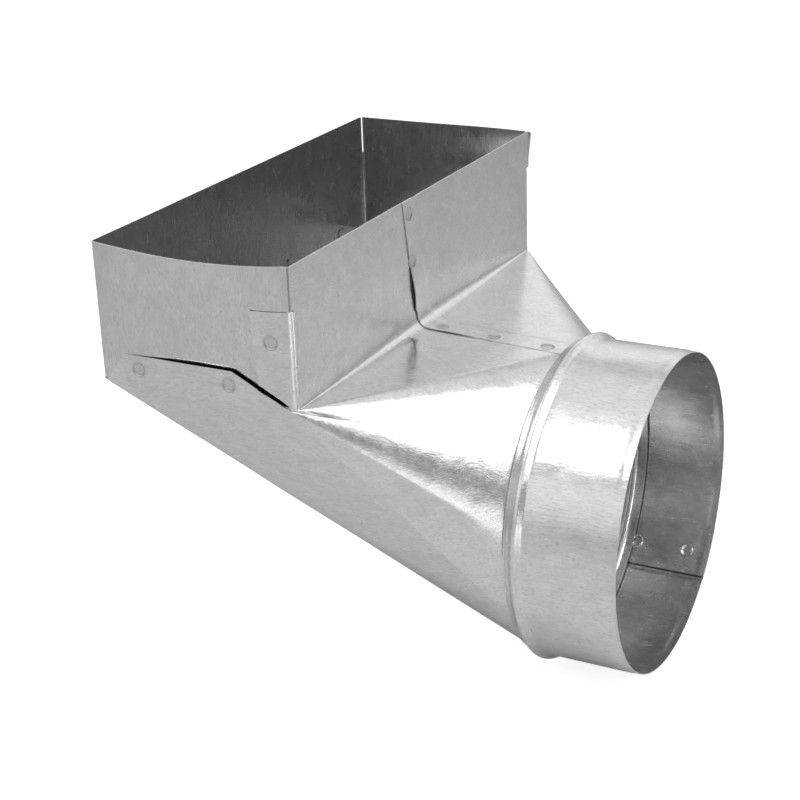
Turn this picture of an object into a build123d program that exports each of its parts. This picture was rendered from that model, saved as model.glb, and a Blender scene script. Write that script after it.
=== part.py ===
from build123d import *
import os
from math import acos, atan2, ceil, cos, degrees, hypot, radians, sin, tan

# Right-angle register boot in thin galvanised sheet: a 4 in by 10 in box turning to a 6 in round collar.
# Frame: the origin is the centre of the round mouth, +Y runs back along the duct axis, +Z goes up to the box's rim.

# Sheet and fits
sheet = 0.5
lap_gap = 0.1

# Box
box_length = 248.5
box_width = 101.0
wall_height = 64.2
corner_radius = 3.0
flange_band = 19.5
slit_width = 0.8
relief_radius = 1.3
foot_gap = 1.0

# Collar and duct axis
duct_bore = 152.4
collar_reach = 127.0
collar_length = 53.6
axis_drop = 142.8
bead_height = 2.6
bead_width = 8.0
bead_setback = 2.0
bead_crest = 2.6
collar_seam_angle = 139.3
collar_lap_angle = 19.5
collar_joggle_angle = 1.5

# Body neck, held in the collar by the bead
neck_inset = 1.6
neck_overlap = 10.1
neck_bead_width = 6.6

# Laid-out transition
crease_angle = 82.0
flat_half_angle = 0.6
layout_step = 8.5
corner_steps = 4

# Tabs that lap the box sheet
tab_height = 14.0
tab_front_run = 31.0
tab_back_run = 14.0
wrap_width = 18.0
notch_gap = 2.0

# Front seam, from the rim to the fold to the neck, and the seam under the heel
seam_at_rim = -21.5
seam_at_fold = -10.0
seam_at_neck = -8.0
heel_seam = -6.0
seam_lap = 12.0
joggle = 2.0

# Strains left in the sheet
left_wall_bow = 8.3
bow_peak_setback = 42.0
right_corner_flare = 5.0
right_middle_flare = 0.8

# Button clinches
clinch_radius = 2.4
clinch_depth = 1.0
clinch_sides = 12
clinch_from_edge = 4.5
front_clinch_drops = (6.5, 30.0)
flat_clinch_shares = (0.15, 0.51, 0.88)
heel_clinch_shares = (0.15, 0.5, 0.85)
side_clinch_height = 7.5
back_clinch_height = 5.0
side_clinch_setbacks = (33.0, 80.0)
back_clinch_spans = (-95.0, -40.0, 40.0, 95.0)
wrap_clinch_setback = 9.7
wrap_clinch_drop = 33.7
collar_clinch_setbacks = (11.5, 38.5)

# Places that follow from the sizes above
layer = sheet + lap_gap
half_long = box_length / 2
front_face = collar_reach
back_face = front_face + box_width
rim = axis_drop
fold = rim - wall_height
band = rim - flange_band
slit_low = band - slit_width / 2
slit_high = band + slit_width / 2
tab_top = fold + tab_height
bend_front = front_face + corner_radius
bend_back = back_face - corner_radius
long_reach = half_long - corner_radius
wall_x = half_long - layer
wall_front = front_face + layer
wall_back = back_face - layer
wall_corner = corner_radius - layer
neck_radius = duct_bore / 2 - neck_inset
neck_plane = collar_length + lap_gap
neck_end = neck_plane - neck_overlap
collar_bead = (bead_width, bead_height)
neck_bead = (neck_bead_width, neck_inset + bead_height - sheet - 5 * lap_gap)
bead_middle = collar_length - bead_setback - bead_width / 2
far_out = box_length
button_radius = clinch_radius + sheet
button_depth = clinch_depth + sheet
clinch_clearance = 0.7 * lap_gap

# The gusset lies in the plane that runs through the end fold and just touches the neck
end_fold_distance = hypot(half_long, fold)
gusset_angle = 90 - degrees(atan2(fold, half_long)) + degrees(acos(neck_radius / end_fold_distance))

# Eight bays run round the box from the front side, sides and rounded corners by turns: a box side's two ends,
# or a corner's start and end, with the share of the neck circle that the bay is laid out to
outline = [
    (-long_reach, front_face),
    (long_reach, front_face),
    (half_long, bend_front),
    (half_long, bend_back),
    (long_reach, back_face),
    (-long_reach, back_face),
    (-half_long, bend_back),
    (-half_long, bend_front),
]
facings = [Vector(0, -1), Vector(1, 0), Vector(0, 1), Vector(-1, 0)]
neck_angles = [
    -flat_half_angle,
    flat_half_angle,
    crease_angle,
    gusset_angle,
    180 - flat_half_angle,
    180 + flat_half_angle,
    360 - gusset_angle,
    360 - crease_angle,
    360 - flat_half_angle,
]


# Body laid out by triangles, as a sheet-metal worker does it, one closed layer of sheet at a time


def neck_point(angle, out):
    """Point on the neck circle, moved outwards, with the angle counted from the top towards +X."""
    radius = neck_radius + out
    return Vector(radius * sin(radians(angle)), neck_plane, radius * cos(radians(angle)))


def neck_station(bay, share, out):
    """Point at a share of one bay's neck arc."""
    start, end = neck_angles[bay:bay + 2]
    return neck_point(start + (end - start) * share, out)


def outline_edge(bay):
    """Side or rounded corner of the box outline at the fold."""
    start = Vector(*outline[bay], fold)
    end = Vector(*outline[(bay + 1) % 8], fold)
    if bay % 2 == 0:
        return Edge.make_line(start, end)
    facing = facings[bay // 2]
    return Edge.make_tangent_arc(start, Vector(-facing.Y, facing.X, 0), end)


def fold_station(bay, share, out):
    """Point at a share of one bay's fold, mitred between the wall and the transition, and the wall's facing there."""
    edge = outline_edge(bay)
    run = edge % share
    facing = Vector(run.Y, -run.X, 0)
    ruling = neck_station(bay, share, 0) - edge @ share
    normal = ruling.cross(run).normalized()
    return edge @ share + (facing + normal) * (out / (1 + facing.dot(normal))), facing


def layout(bay):
    """Steps of one bay's triangles: how many along the fold and the neck, and which of the two goes first."""
    start, end = neck_angles[bay:bay + 2]
    neck_steps = ceil((end - start) / layout_step)
    if bay in (2, 6):
        turns = [(0, 1)] * neck_steps
        return (turns + [(1, 0)] if bay == 2 else [(1, 0)] + turns), 1, neck_steps
    fold_steps = corner_steps if bay % 2 else 1
    order = sorted(
        [((step + 0.5) / fold_steps, (1, 0)) for step in range(fold_steps)]
        + [((step + 0.5) / neck_steps, (0, 1)) for step in range(neck_steps)]
    )
    return [turn for _, turn in order], fold_steps, neck_steps


def body_shell(inner, outer):
    """Closed shell of the box walls and the transition between two parallel distances."""
    faces = []
    for bay in range(8):
        turns, fold_steps, neck_steps = layout(bay)
        folds = {}
        tops = {}
        necks = {}
        for out in (inner, outer):
            stations = [fold_station(bay, step / fold_steps, out) for step in range(fold_steps + 1)]
            folds[out] = [point for point, _ in stations]
            tops[out] = [
                outline_edge(bay) @ (step / fold_steps) + stations[step][1] * out + Vector(0, 0, wall_height)
                for step in range(fold_steps + 1)
            ]
            necks[out] = [neck_station(bay, step / neck_steps, out) for step in range(neck_steps + 1)]
            along, across = 0, 0
            for fold_turn, neck_turn in turns:
                corners = [folds[out][along], necks[out][across]]
                along += fold_turn
                across += neck_turn
                corners.append(folds[out][along] if fold_turn else necks[out][across])
                faces.append(Face(Wire.make_polygon(corners)))
            for step in range(fold_steps):
                corners = [*folds[out][step:step + 2], *reversed(tops[out][step:step + 2])]
                faces.append(Face(Wire.make_polygon(corners)))
        for line, steps in ((tops, fold_steps), (necks, neck_steps)):
            for step in range(steps):
                corners = [*line[inner][step:step + 2], *reversed(line[outer][step:step + 2])]
                faces.append(Face(Wire.make_polygon(corners)))
    return Solid(Shell(faces))


# Rolled rings with a bead, about the duct axis


def radial_plane(angle):
    """Plane through the duct axis: x runs along the axis and y runs outwards, at an angle from the top."""
    return Plane(origin=(0, 0, 0), x_dir=(0, 1, 0), z_dir=(cos(radians(angle)), 0, -sin(radians(angle))))


def bead_path(radius, bead, span, out):
    """Corner points of a beaded line, moved outwards by a parallel distance."""
    width, height = bead
    slope = atan2(height, (width - bead_crest) / 2)
    foot = width / 2 + out * tan(slope / 2)
    crest = bead_crest / 2 + out * tan(slope / 2)
    return [
        (span[0], radius + out),
        (bead_middle - foot, radius + out),
        (bead_middle - crest, radius + height + out),
        (bead_middle + crest, radius + height + out),
        (bead_middle + foot, radius + out),
        (span[1], radius + out),
    ]


def ring(radius, bead, span, layers, angles):
    """Rolled ring with its bead's width and height, between two parallel distances and two angles."""
    with BuildPart() as rolled:
        with BuildSketch(radial_plane(angles[0])):
            with BuildLine():
                near = bead_path(radius, bead, span, layers[0])
                far = bead_path(radius, bead, span, layers[1])
                Polyline(*near, *reversed(far), close=True)
            make_face()
        revolve(axis=Axis.Y, revolution_arc=angles[1] - angles[0])
    return rolled.part


def body_layer(inner, outer):
    """Box walls, transition and neck in one layer of sheet, with the walls cut down to the flange and tabs."""
    notch_rise = tab_height / (tab_front_run - corner_radius)
    wrap_end = front_face + wrap_width
    with BuildPart() as whole:
        add(body_shell(inner, outer))
        add(ring(neck_radius, neck_bead, (neck_end, neck_plane), (inner, outer), (0, 360)))

        # Only the flat front flange stands above the slits
        with BuildSketch(Plane.XY.offset(slit_low)):
            Rectangle(2 * far_out, 4 * far_out)
            with Locations((0, front_face)):
                Rectangle(2 * long_reach, corner_radius, mode=Mode.SUBTRACT)
        extrude(amount=far_out, mode=Mode.SUBTRACT)
        with BuildSketch(Plane.XZ.offset(-(front_face - inner))):
            with Locations(*[(side * (long_reach + half_long) / 2, (slit_high + rim) / 2) for side in (-1, 1)]):
                Rectangle(half_long - long_reach, rim - slit_high)
        extrude(amount=outer - inner)

        # Side tabs and wrap tabs
        with BuildSketch(Plane.YZ):
            with BuildLine():
                Polyline(
                    (bend_front, fold),
                    (front_face + tab_front_run, tab_top),
                    (back_face - tab_back_run, tab_top),
                    (bend_back, fold),
                    (bend_back, 2 * rim),
                    (wrap_end, 2 * rim),
                    (wrap_end, fold + notch_gap + notch_rise * (wrap_end - bend_front)),
                    (bend_front, fold + notch_gap),
                    close=True,
                )
            make_face()
        extrude(amount=far_out, both=True, mode=Mode.SUBTRACT)

        # Back tab
        with BuildSketch(Plane.XZ.offset(-bend_back)):
            Rectangle(2 * far_out, 2 * rim, align=(Align.CENTER, Align.MIN))
            Rectangle(4 * far_out, 2 * fold, mode=Mode.SUBTRACT)
            with BuildLine():
                Polyline(
                    (-long_reach, fold),
                    (tab_back_run - half_long, tab_top),
                    (half_long - tab_back_run, tab_top),
                    (long_reach, fold),
                    close=True,
                )
            make_face(mode=Mode.SUBTRACT)
        extrude(amount=-far_out, mode=Mode.SUBTRACT)
    return whole.part


def bowed_band(inner, outer):
    """Left end wall above the side tab, straight at the tab and bowed out at the rim."""
    with BuildPart() as bowed:
        for height, bow in ((tab_top, 0.0), (rim, left_wall_bow)):
            with BuildSketch(Plane.XY.offset(height)):
                with BuildLine():
                    lines = [
                        Spline(
                            (-half_long + set_in, bend_front),
                            (-half_long + set_in - bow, front_face + bow_peak_setback),
                            (-half_long + set_in, bend_back),
                        )
                        for set_in in (inner, outer)
                    ]
                    Line(lines[0] @ 0, lines[1] @ 0)
                    Line(lines[0] @ 1, lines[1] @ 1)
                make_face()
        loft(ruled=True)
    return bowed.part


def right_of(shift):
    """Space to the right of the seams, moved to the right by a shift."""
    with BuildPart() as space:
        with BuildSketch(Plane.XZ.offset(-bend_front)):
            with BuildLine():
                Polyline(
                    (seam_at_rim + shift, 2 * rim),
                    (seam_at_rim + shift, rim),
                    (seam_at_fold + shift, fold),
                    (seam_at_fold + shift, 0),
                    (far_out, 0),
                    (far_out, 2 * rim),
                    close=True,
                )
            make_face()
        extrude(amount=2 * corner_radius)
        with BuildSketch():
            with BuildLine():
                Polyline(
                    (seam_at_fold + shift, front_face - corner_radius),
                    (seam_at_neck + shift, neck_plane),
                    (seam_at_neck + shift, 0),
                    (far_out, 0),
                    (far_out, front_face - corner_radius),
                    close=True,
                )
            make_face()
        extrude(amount=rim)
        with BuildSketch(Plane.YZ.offset(heel_seam + shift)):
            with BuildLine():
                Polyline(
                    (0, 0),
                    (bend_front, 0),
                    (bend_front, rim),
                    (2 * back_face, rim),
                    (2 * back_face, -rim),
                    (0, -rim),
                    close=True,
                )
            make_face()
        extrude(amount=far_out)
    return space.part


def clinch(place, sheets_above):
    """Button pressed through one sheet of a lap, clear of the buttons in the sheets above it."""
    widen = sheets_above * layer
    with BuildSketch(place.offset(-widen - sheet / 2)) as button:
        RegularPolygon(button_radius + widen, clinch_sides)
    extrude(button.sketch, amount=sheet / 2 - button_depth)
    with BuildSketch(place.offset(clinch_clearance - widen)) as dimple:
        RegularPolygon(clinch_radius + widen, clinch_sides)
    extrude(dimple.sketch, amount=-clinch_depth - clinch_clearance, mode=Mode.SUBTRACT)


# Places of the clinches
front_line = (seam_at_fold - seam_at_rim) / wall_height
front_places = [
    Plane(
        origin=(seam_at_rim + front_line * drop + clinch_from_edge, front_face - layer, rim - drop),
        x_dir=(1, 0, 0),
        z_dir=(0, -1, 0),
    )
    for drop in front_clinch_drops
]
flat_start = Vector(seam_at_fold + clinch_from_edge, front_face, fold)
flat_end = Vector(seam_at_neck + clinch_from_edge, neck_plane, neck_radius)
flat_out = Vector(0, neck_radius - fold, front_face - neck_plane).normalized()
flat_places = [
    Plane(origin=flat_start + (flat_end - flat_start) * share + flat_out * layer, x_dir=(1, 0, 0), z_dir=flat_out)
    for share in flat_clinch_shares
]
heel_start = Vector(heel_seam + clinch_from_edge, back_face, fold)
heel_end = Vector(heel_seam + clinch_from_edge, neck_plane, -neck_radius)
heel_out = Vector(0, neck_radius + fold, neck_plane - back_face).normalized()
heel_places = [
    Plane(origin=heel_start + (heel_end - heel_start) * share + heel_out * layer, x_dir=(1, 0, 0), z_dir=heel_out)
    for share in heel_clinch_shares
]
seam_places = front_places + flat_places + heel_places
back_places = [
    Plane(origin=(span, back_face, fold + back_clinch_height), x_dir=(1, 0, 0), z_dir=(0, 1, 0))
    for span in back_clinch_spans
]
side_places = {
    side: [
        Plane(
            origin=(side * half_long, front_face + setback, fold + side_clinch_height),
            x_dir=(0, 1, 0),
            z_dir=(side, 0, 0),
        )
        for setback in side_clinch_setbacks
    ]
    for side in (-1, 1)
}
wrap_middle = Vector(0, front_face + wrap_clinch_setback, rim - wrap_clinch_drop)
right_wrap_place = Plane(origin=wrap_middle + Vector(half_long, 0, 0), x_dir=(0, 1, 0), z_dir=(1, 0, 0))
bowed_sheet = bowed_band(0, sheet)
bowed_face = bowed_sheet.faces().filter_by(GeomType.BSPLINE).sort_by(Axis.X)[0]
wrap_point, wrap_out = bowed_face.find_intersection_points(Axis(wrap_middle, (-1, 0, 0)))[0]
left_wrap_place = Plane(origin=wrap_point, x_dir=(0, 1, 0), z_dir=wrap_out)

# Body sheet all round in one layer, before it is parted at the seams
with BuildPart() as body_sheet:
    add(body_layer(-sheet, 0))
    with BuildSketch(Plane.XY.offset(tab_top)):
        with Locations((-long_reach, bend_front)):
            Rectangle(far_out, far_out, align=(Align.MAX, Align.MIN))
    extrude(amount=far_out, mode=Mode.SUBTRACT)
    with BuildPart(mode=Mode.PRIVATE) as left_wrap:
        add(bowed_sheet)
        with BuildSketch(Plane.YZ):
            with Locations((bend_front, tab_top)):
                Rectangle(wrap_width - corner_radius, slit_low - tab_top, align=(Align.MIN, Align.MIN))
        extrude(amount=-far_out, mode=Mode.INTERSECT)
    add(left_wrap.part)

# Left shell: its hidden edge runs under the right shell at both seams
with BuildPart() as left_shell:
    add(body_sheet.part)
    add(right_of(seam_lap), mode=Mode.SUBTRACT)
    for place in seam_places:
        clinch(place, 1)
    for place in side_places[-1] + back_places[:2] + [left_wrap_place]:
        clinch(place, 0)

# Right shell: steps out by one layer and covers the left shell up to the visible seams
step_start = seam_lap + 3 * lap_gap
with BuildPart() as right_shell:
    add(body_sheet.part)
    add(right_of(step_start), mode=Mode.INTERSECT)
    with BuildPart(mode=Mode.PRIVATE) as step:
        add(body_layer(-sheet, layer))
        add(right_of(step_start), mode=Mode.INTERSECT)
        add(right_of(step_start + joggle), mode=Mode.SUBTRACT)
    with BuildPart(mode=Mode.PRIVATE) as lap:
        add(body_layer(lap_gap, layer))
        add(right_of(0), mode=Mode.INTERSECT)
        add(right_of(step_start), mode=Mode.SUBTRACT)
    add(step.part)
    add(lap.part)
    for place in seam_places:
        clinch(place, 0)
    for place in side_places[1] + back_places[2:] + [right_wrap_place]:
        clinch(place, 0)

# Box sheet: one U-shaped strip for the back wall and both end walls
with BuildPart() as box_sheet:
    with BuildSketch(Plane.XY.offset(fold + foot_gap)):
        with BuildLine():
            runs = [
                FilletPolyline(
                    (-wall_x + set_in, bend_front),
                    (-wall_x + set_in, wall_back - set_in),
                    (wall_x - set_in, wall_back - set_in),
                    (wall_x - set_in, bend_front),
                    radius=wall_corner - set_in,
                )
                for set_in in (0, sheet)
            ]
            Line(runs[0] @ 0, runs[1] @ 0)
            Line(runs[0] @ 1, runs[1] @ 1)
        make_face()
    extrude(amount=wall_height - foot_gap)

    # The left end is bowed above the side tab and the right end is flared above the slits
    with BuildSketch(Plane.XY.offset(tab_top)):
        with Locations((-long_reach, bend_back)):
            Rectangle(far_out, far_out, align=(Align.MAX, Align.MAX))
    extrude(amount=rim, mode=Mode.SUBTRACT)
    with BuildSketch(Plane.XY.offset(band)):
        with Locations((long_reach, bend_back)):
            Rectangle(far_out, far_out, align=(Align.MIN, Align.MAX))
    extrude(amount=rim, mode=Mode.SUBTRACT)
    add(bowed_band(layer, layer + sheet))
    with BuildSketch(Plane.XY.offset(band)):
        with Locations((-wall_x, wall_front)):
            Rectangle(sheet, bend_front - wall_front, align=(Align.MIN, Align.MIN))
    extrude(amount=flange_band)
    for height, corner_out, middle_out in ((band, 0.0, 0.0), (rim, right_corner_flare, right_middle_flare)):
        with BuildSketch(Plane.XY.offset(height)):
            with BuildLine():
                runs = [
                    Spline(
                        (wall_x - set_in + corner_out, wall_front),
                        (wall_x - set_in + middle_out, (wall_front + bend_back) / 2),
                        (wall_x - set_in, bend_back),
                    )
                    for set_in in (0, sheet)
                ]
                Line(runs[0] @ 0, runs[1] @ 0)
                Line(runs[0] @ 1, runs[1] @ 1)
            make_face()
    loft(ruled=True)

    # Slits and round reliefs at the back corners
    for side in (-1, 1):
        with Locations(Location((side * long_reach, bend_back, band), (0, 0, -45 * side))):
            Box(
                slit_width,
                2 * corner_radius,
                2 * flange_band,
                align=(Align.CENTER, Align.MIN, Align.MIN),
                mode=Mode.SUBTRACT,
            )
            Cylinder(
                relief_radius,
                2 * corner_radius,
                rotation=(-90, 0, 0),
                align=(Align.CENTER, Align.CENTER, Align.MIN),
                mode=Mode.SUBTRACT,
            )
    for place in side_places[-1] + side_places[1] + back_places + [left_wrap_place, right_wrap_place]:
        clinch(place, 1)

# Collar: one rolled strip that laps over its own inner edge, with its clinches pressed out from the bore
collar_radius = duct_bore / 2
collar_span = (0, collar_length)
over_start = collar_seam_angle + degrees(3 * lap_gap / collar_radius)
over_end = over_start + collar_joggle_angle
clinch_angle = radians(collar_seam_angle - collar_lap_angle / 2)
with BuildPart() as collar:
    add(ring(collar_radius, collar_bead, collar_span, (0, sheet), (over_start, collar_seam_angle + 360)))
    add(ring(collar_radius, collar_bead, collar_span, (0, layer + sheet), (over_start, over_end)))
    add(
        ring(
            collar_radius,
            collar_bead,
            collar_span,
            (layer, layer + sheet),
            (collar_seam_angle - collar_lap_angle, over_start),
        )
    )
    for sheets_above in (1, 0):
        for setback in collar_clinch_setbacks:
            inward = Vector(-sin(clinch_angle), 0, -cos(clinch_angle))
            middle = inward * -collar_radius + Vector(0, setback, 0)
            clinch(Plane(origin=middle, x_dir=(0, 1, 0), z_dir=inward), sheets_above)

os.makedirs("parts", exist_ok=True)
box_sheet.part.label = "box_sheet"
left_shell.part.label = "left_shell"
right_shell.part.label = "right_shell"
collar.part.label = "collar"
export_step(box_sheet.part, "parts/box_sheet.step")
export_step(left_shell.part, "parts/left_shell.step")
export_step(right_shell.part, "parts/right_shell.step")
export_step(collar.part, "parts/collar.step")
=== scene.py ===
import math
from collections import namedtuple

import bpy
from bpy.props import FloatProperty, FloatVectorProperty, PointerProperty
from mathutils import Matrix, Vector, noise


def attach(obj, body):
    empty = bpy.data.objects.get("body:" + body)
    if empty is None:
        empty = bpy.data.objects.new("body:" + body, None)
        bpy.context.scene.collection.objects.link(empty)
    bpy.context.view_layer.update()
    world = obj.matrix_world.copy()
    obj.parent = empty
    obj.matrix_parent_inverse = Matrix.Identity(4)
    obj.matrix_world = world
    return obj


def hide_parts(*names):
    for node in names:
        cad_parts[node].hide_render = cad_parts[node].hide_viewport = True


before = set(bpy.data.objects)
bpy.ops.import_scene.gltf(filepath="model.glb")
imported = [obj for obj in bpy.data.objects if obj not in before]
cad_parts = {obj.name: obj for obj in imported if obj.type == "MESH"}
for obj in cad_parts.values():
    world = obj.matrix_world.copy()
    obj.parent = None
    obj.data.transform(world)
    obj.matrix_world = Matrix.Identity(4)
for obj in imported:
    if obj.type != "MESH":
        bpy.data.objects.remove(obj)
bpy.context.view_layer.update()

bl_info = {
    "name": "Galvanised angle register boot",
    "version": (1, 0, 0),
    "blender": (4, 5, 0),
    "location": "View3D > Sidebar > Boot",
    "description": "Dresses the angle register boot's four sheets and sets its camera and lights",
    "category": "Add Mesh",
}

MM = 0.001
UP = Vector((0.0, 0.0, 1.0))
AHEAD = Vector((0.0, -1.0, 0.0))
BEHIND = Vector((0.0, 1.0, 0.0))

# Edges of the halves along the front seam, at the rim, the fold and the neck, and under the heel
RIGHT_EDGES = (-21.5 * MM, -10.0 * MM, -8.0 * MM)
RIGHT_HEEL_EDGE = -6.0 * MM
LEFT_EDGES = (11.5 * MM, 0.0, -2.0 * MM)
LEFT_HEEL_EDGE = -4.0 * MM

# Where the flat facets and the cone end round the neck, in degrees from straight up
FLAT_ANGLE = 0.6
CREASE_ANGLE = 82.0
HEEL_ANGLE = 179.4

# Bends, the slit and the slopes of the tabs
BEND = 1.0 * MM
CORNER_BEND = 1.2 * MM
MOST_SETBACK = 8.0 * MM
SLIT_HALF = 0.4 * MM
FREE_END = 2.4 * MM
TAB_FRONT_SLOPE = 0.5
TAB_BACK_SLOPE = 1.27
WRAP_LIFT = 2.0 * MM

# Columns and rows of the meshes
COLUMNS = {"front": 84, "corner": 40, "fan": 18, "side": 44, "turn": 36, "back": 60}
NECK_ROWS = [value * MM for value in
             (39.8, 41.5, 43.0, 44.2, 45.0, 45.8, 46.6, 47.6, 48.6, 49.4, 50.2, 51.0, 52.2, 53.2, 53.7)]
TRANSITION_ROWS = 34
FOLD_ROWS = 6
WALL_ROWS = 16
FLANGE_ROWS = 7
WRAP_COLUMNS = 8
TAB_ROWS = 6

# The neck's own bead
NECK_BEAD = 3.0 * MM
NECK_BEAD_HALF = 3.4 * MM
NECK_BEAD_SETBACK = 6.0 * MM

# The collar's roll in degrees: its outer edge, where it steps down past its inner edge, and that edge
ROLL_START = 119.8
ROLL_STEP = 140.3
ROLL_END = 499.3
ROLL_SLOPE = 2.0

# Clinches: the pocket, the zone that gets finer faces, and the size of those faces
CLINCH_RADIUS = 3.1 * MM
CLINCH_DEPTH = 0.38 * MM
CLINCH_ZONE = 6.0 * MM
CLINCH_THROUGH = 2.5 * MM
CLINCH_FACE = 0.45 * MM

# The arc-shaped dent on the left flat
DENT_PATH = [Vector(spot) * MM for spot in
             ((-38.0, 124.4, 78.5), (-31.0, 124.2, 78.5), (-25.2, 123.2, 78.4), (-25.6, 121.0, 78.3),
              (-29.2, 118.6, 78.2), (-38.3, 113.4, 77.9), (-49.8, 108.1, 77.6), (-60.0, 103.6, 77.3))]
DENT_ZONE = 2.5 * MM
DENT_DEPTH = 0.015 * MM
DENT_WIDTH = 0.9 * MM
# Painted dark line along the dent, in place of its dark reflection: its strength and width
DENT_PAINTED_SHADE = 0.66
DENT_PAINTED_SHADE_WIDTH = 0.6 * MM
DENT_REACH = 60.0 * MM

# Slow unevenness of the sheets: its height, its size and the place in the noise
SHELL_RIPPLE = (0.28 * MM, 45.0 * MM, 3.0)
STRIP_RIPPLE = (0.25 * MM, 50.0 * MM, 11.0)
CRUMPLE_HEIGHT = 1.2 * MM
CRUMPLE_SIZE = 7.0 * MM

# Painted shade: how far the zinc colour is darkened towards near-black where light hardly gets in, and evenly
# over the box sheet's outside
THROAT_PAINTED_SHADE = 0.0
BOX_PAINTED_SHADE = 0.37
BOX_SHEET_PAINTED_SHADE = 0.06
LAP_PAINTED_SHADE = 0.96
# Near-black colour towards which painted shade darkens the zinc
PAINTED_SHADE_COLOUR = (0.012, 0.012, 0.012, 1.0)

# Stage
WHITE = (1.0, 1.0, 1.0, 1.0)
FLOOR_HEIGHT = -79.5 * MM
FLOOR_SIZE = 24.0
FLOOR_GLOW = (0.8, 0.8, 0.8, 1.0)
FLOOR_IN_METAL = 0.05
SOFT_STRENGTH = 0.32
SHOWN_STRENGTH = 1.2
CAMERA_LENS = 78.42
CAMERA_SENSOR = 36.0
CAMERA_PLACE = Vector((-705.2, -233.3, 363.3)) * MM
CAMERA_RIGHT = Vector((0.45860, -0.88804, -0.03253))
CAMERA_DOWN = Vector((-0.35207, -0.14796, -0.92420))
CAMERA_VIEW = Vector((0.81592, 0.43530, -0.38051))
MIDDLE = (0.0, 0.12, 0.03)
FRONT_MIDDLE = (-0.08, 0.09, 0.07)
LEFT_CORNER = (-0.124, 0.127, 0.11)

# Tones of the white tent as a reflection finds them, from straight below up to straight above
TENT_AROUND = ((0.0, 0.62), (0.16, 0.7), (0.32, 1.0), (0.5, 1.0), (0.66, 0.42), (0.8, 0.85), (1.0, 0.9))
TENT_AHEAD = ((0.0, 0.6), (0.05, 0.2), (0.22, 0.2), (0.32, 1.0), (0.6, 0.95), (0.85, 0.5), (1.0, 0.9))

Clinch = namedtuple("Clinch", "centre out radius depth", defaults=(CLINCH_RADIUS, CLINCH_DEPTH))
Station = namedtuple("Station", "kind share place facing angle rounding")
Column = namedtuple("Column", "points outward setback")


# Sizes, colours and powers that a user may change

def distance_property(name, description, value):
    return FloatProperty(name=name, description=description, default=value, subtype="DISTANCE")


def colour_property(name, description, value):
    return FloatVectorProperty(name=name, description=description, default=value, subtype="COLOR", size=3,
                               min=0.0, max=1.0)


def power_property(name, description, value):
    return FloatProperty(name=name, description=description, default=value, min=0.0, unit="POWER")


class BoxSizes(bpy.types.PropertyGroup):
    length: distance_property("Length", "Box length over the end walls", 248.5 * MM)
    width: distance_property("Width", "Box width over the front and back walls", 101.0 * MM)
    wall: distance_property("Wall height", "From the fold up to the rim", 64.2 * MM)
    corner: distance_property("Corner radius", "Bend of the box corners", 3.0 * MM)
    flange: distance_property("Flange band", "Height above the corner slits", 19.5 * MM)
    tab: distance_property("Tab height", "Height of the tabs above the fold", 14.0 * MM)
    wrap: distance_property("Wrap", "How far the front wall wraps round the ends", 18.0 * MM)
    left_bow: distance_property("Left bow", "How far the left end wall bows out at the rim", 8.3 * MM)
    right_flare: distance_property("Right flare", "How far the right front corner is bent out", 5.0 * MM)
    fold_round: distance_property("Fold rounding", "Widest rounding of the front fold", 7.0 * MM)


class CollarSizes(bpy.types.PropertyGroup):
    bore: distance_property("Bore", "Inside width of the round collar", 152.4 * MM)
    reach: distance_property("Reach", "From the collar's mouth to the box's front wall", 127.0 * MM)
    length: distance_property("Length", "Collar length along the duct axis", 53.6 * MM)
    drop: distance_property("Drop", "From the rim down to the duct axis", 142.8 * MM)
    bead: distance_property("Bead height", "How far the bead stands proud", 2.5 * MM)
    bead_width: distance_property("Bead width", "Bead width along the axis", 8.0 * MM)
    neck: distance_property("Neck radius", "Outside radius of the body's neck", 74.6 * MM)


class SheetFinish(bpy.types.PropertyGroup):
    thickness: distance_property("Sheet", "Sheet thickness", 0.5 * MM)
    layer: distance_property("Layer", "Step from one lapped sheet to the next", 0.6 * MM)
    zinc_light: colour_property("Light zinc", "Zinc where it is freshest", (0.74, 0.745, 0.75))
    zinc_dark: colour_property("Dark zinc", "Zinc where it has dulled", (0.55, 0.555, 0.56))
    roughness: FloatProperty(name="Roughness", description="Middle roughness of the zinc", default=0.23,
                             min=0.05, max=1.0, subtype="FACTOR")
    metallic: FloatProperty(name="Metallic", description="Bare metal against dull zinc bloom", default=0.9,
                            min=0.0, max=1.0, subtype="FACTOR")


class StageSettings(bpy.types.PropertyGroup):
    floor_colour: colour_property("Floor", "Colour of the floor", (0.8, 0.8, 0.8))
    key_power: power_property("Key", "Power of the large lamp above the left", 7.5)
    fill_power: power_property("Fill", "Power of the lamp in front", 3.0)
    over_power: power_property("Over", "Power of the lamp high in front", 3.0)
    card_power: power_property("Card", "Power of the small card low at the left front corner", 0.1)


# Curves that the sheets use

def smooth(low, high, value):
    share = min(max((value - low) / (high - low), 0.0), 1.0)
    return share * share * (3.0 - 2.0 * share)


def mix(start, end, share):
    return start + (end - start) * share


def steps(start, end, count):
    return [mix(start, end, step / count) for step in range(count)]


def bell(away, width):
    return math.exp(-(away / width) ** 2)


def hump(away):
    """Rounded ridge: one in its middle, and nothing from one on."""
    return 0.5 * (1.0 + math.cos(math.pi * min(away, 1.0)))


def bow_out(box, depth, height):
    """How far the left end wall bows out at a depth behind the front bend and a height above the tab."""
    run = box.width - 2.0 * box.corner
    share = min(max(depth / run, 0.0), 1.0)
    rise = min(max(height / (box.wall - box.tab), 0.0), 1.0)
    return box.left_bow * math.sin(math.pi * share ** 0.78) * rise


def tab_height(box, ahead, behind):
    """Height of a tab at so far from the bend ahead of it and the bend behind it."""
    return min(box.tab, TAB_FRONT_SLOPE * max(0.0, ahead), TAB_BACK_SLOPE * max(0.0, behind))


# Sheets as meshes

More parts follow.
